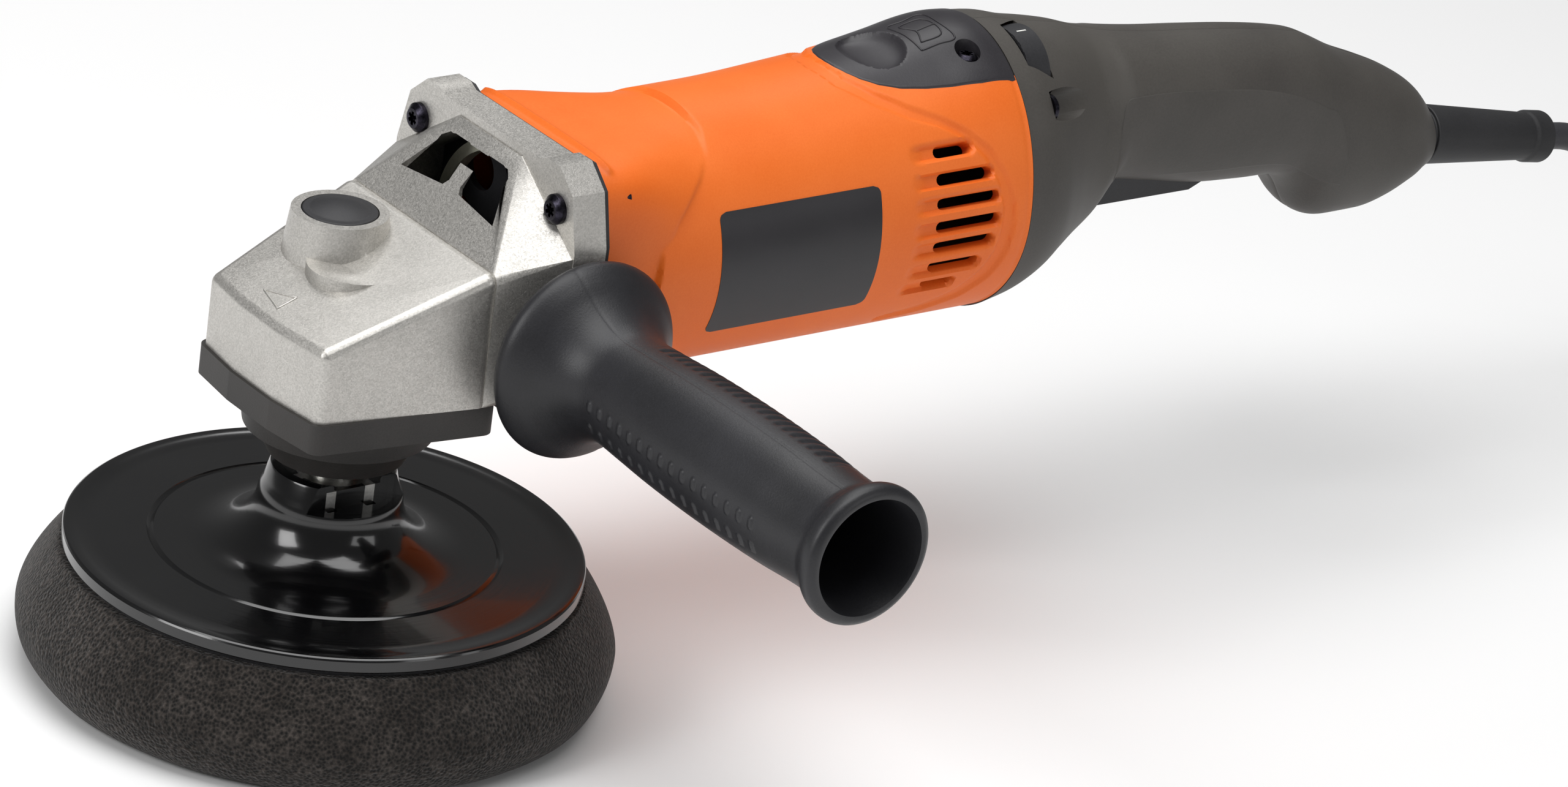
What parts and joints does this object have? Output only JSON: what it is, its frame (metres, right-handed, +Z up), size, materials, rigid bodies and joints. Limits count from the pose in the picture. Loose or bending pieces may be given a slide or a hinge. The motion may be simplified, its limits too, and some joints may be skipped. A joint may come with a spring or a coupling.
{
  "type": "rotary polisher",
  "caption": "Electric rotary polisher: motor body with angle gear head, side handle, paddle-switch rear grip, disc backing plate, foam pad and mains cord.",
  "frame": {"origin": "centre of the foam pad's working face, on the spindle's axis", "axes": "+Z up along the spindle from the pad to the gear head, +X from the gear head towards the rear handle and the cord, side handle towards -Y"},
  "size_m": [0.7853, 0.2703, 0.1731],
  "materials": {
    "cast_aluminium": "bead-blasted cast aluminium",
    "dark_casting": "dark matt cast metal",
    "orange_shell": "satin moulded plastic",
    "black_cover": "satin moulded plastic",
    "badge_black": "satin label panel",
    "grey_shell": "fine-textured moulded plastic",
    "soft_grip": "matt soft-touch rubber",
    "black_plastic": "satin moulded plastic",
    "gloss_plate": "glossy moulded plastic with turning marks",
    "cream_plastic": "plain moulded plastic",
    "steel": "ground steel",
    "dark_steel": "blackened steel",
    "laminations": "stacked laminations",
    "copper": "enamelled copper",
    "brass": "pressed brass",
    "carbon": "pressed carbon",
    "foam": "open-cell foam",
    "hook_layer": "hook-and-loop layer",
    "rubber": "moulded rubber",
    "cord_grey": "cord sheath",
    "circuit_board": "potted electronics",
    "white_plastic": "plain moulded plastic"
  },
  "bodies": {
    "housing": {"gear_housing": "cast_aluminium", "gear_cover": "dark_casting", "gear_cover_screws": "dark_steel", "head_screws": "dark_steel", "mid_plate": "black_plastic", "air_guide": "cream_plastic", "motor_housing": "orange_shell", "top_cover": "black_cover", "top_cover_screw": "dark_steel", "badge_plate": "badge_black", "stator_core": "laminations", "stator_windings": "copper", "armature_front_bearing": "steel", "armature_rear_bearing": "steel", "spindle_top_bearing": "steel", "spindle_lower_bearing": "steel", "countershaft_front_bearing": "steel", "countershaft_rear_bearing": "steel", "spindle_seal": "rubber", "brush_holders": "brass", "carbon_brushes": "carbon", "brush_springs": "steel", "handle_shell_left": "grey_shell", "handle_shell_right": "grey_shell", "grip_pads": "soft_grip", "handle_screws": "dark_steel", "handle_mount_screws": "dark_steel", "switch_body": "black_plastic", "speed_module": "circuit_board", "trigger_pin": "steel", "cord_clamp": "black_plastic", "cord_clamp_screws": "dark_steel", "cord_boot": "rubber", "side_handle": "black_plastic", "side_handle_stud": "steel", "cord_lead": "cord_grey", "cord_coil": "cord_grey", "cord_tie": "hook_layer", "cord_end": "cord_grey", "mains_plug": "black_plastic", "plug_pins": "steel"},
    "spindle": {"spindle": "steel", "crown_gear": "steel", "gear_clip": "steel", "plate_insert": "steel", "backing_plate": "gloss_plate", "hook_disc": "hook_layer", "foam_pad": "foam"},
    "countershaft": {"countershaft": "steel", "spur_gear": "steel"},
    "armature": {"armature_shaft": "steel", "armature_core": "laminations", "commutator": "copper", "cooling_fan": "black_plastic"},
    "lock_button": {"lock_button": "black_plastic", "lock_pin": "steel", "lock_spring": "steel"},
    "trigger": {"trigger": "black_plastic"},
    "switch_plunger": {"switch_plunger": "white_plastic"},
    "speed_dial": {"speed_dial": "black_plastic"}
  },
  "joints": [
    {"name": "spindle_spin", "type": "hinge", "parent": "housing", "child": "spindle", "pos_m": [0, 0, 0.1], "axis": [0, 0, 1], "continuous": true},
    {"name": "countershaft_spin", "type": "hinge", "parent": "housing", "child": "countershaft", "pos_m": [0.03, 0, 0.1065], "axis": [1, 0, 0], "continuous": true},
    {"name": "armature_spin", "type": "hinge", "parent": "housing", "child": "armature", "pos_m": [0.12, 0, 0.1225], "axis": [1, 0, 0], "continuous": true},
    {"name": "lock_press", "type": "slide", "parent": "housing", "child": "lock_button", "axis": [0, 0, -1], "range_m": [0, 0.0045], "stiffness_N_per_m": 700, "springref_m": -0.003, "deforming": ["lock_spring"]},
    {"name": "trigger_squeeze", "type": "hinge", "parent": "housing", "child": "trigger", "pos_m": [0.306, 0, 0.116], "axis": [0, 1, 0], "range_deg": [0, 8], "stiffness_Nm_per_rad": 2, "springref_deg": -8.59},
    {"name": "plunger_push", "type": "slide", "parent": "housing", "child": "switch_plunger", "axis": [0, 0, 1], "range_m": [0, 0.0046]},
    {"name": "dial_turn", "type": "hinge", "parent": "housing", "child": "speed_dial", "pos_m": [0.2245, -0.0083, 0.1566], "axis": [1, 0, 0], "range_deg": [-150, 150]}
  ],
  "couplings": [
    {"joint": "countershaft_spin", "follows": "spindle_spin", "ratio": 3.7778},
    {"joint": "armature_spin", "follows": "spindle_spin", "ratio": -11.333},
    {"joint": "plunger_push", "follows": "trigger_squeeze", "m_per_rad": 0.031}
  ]
}
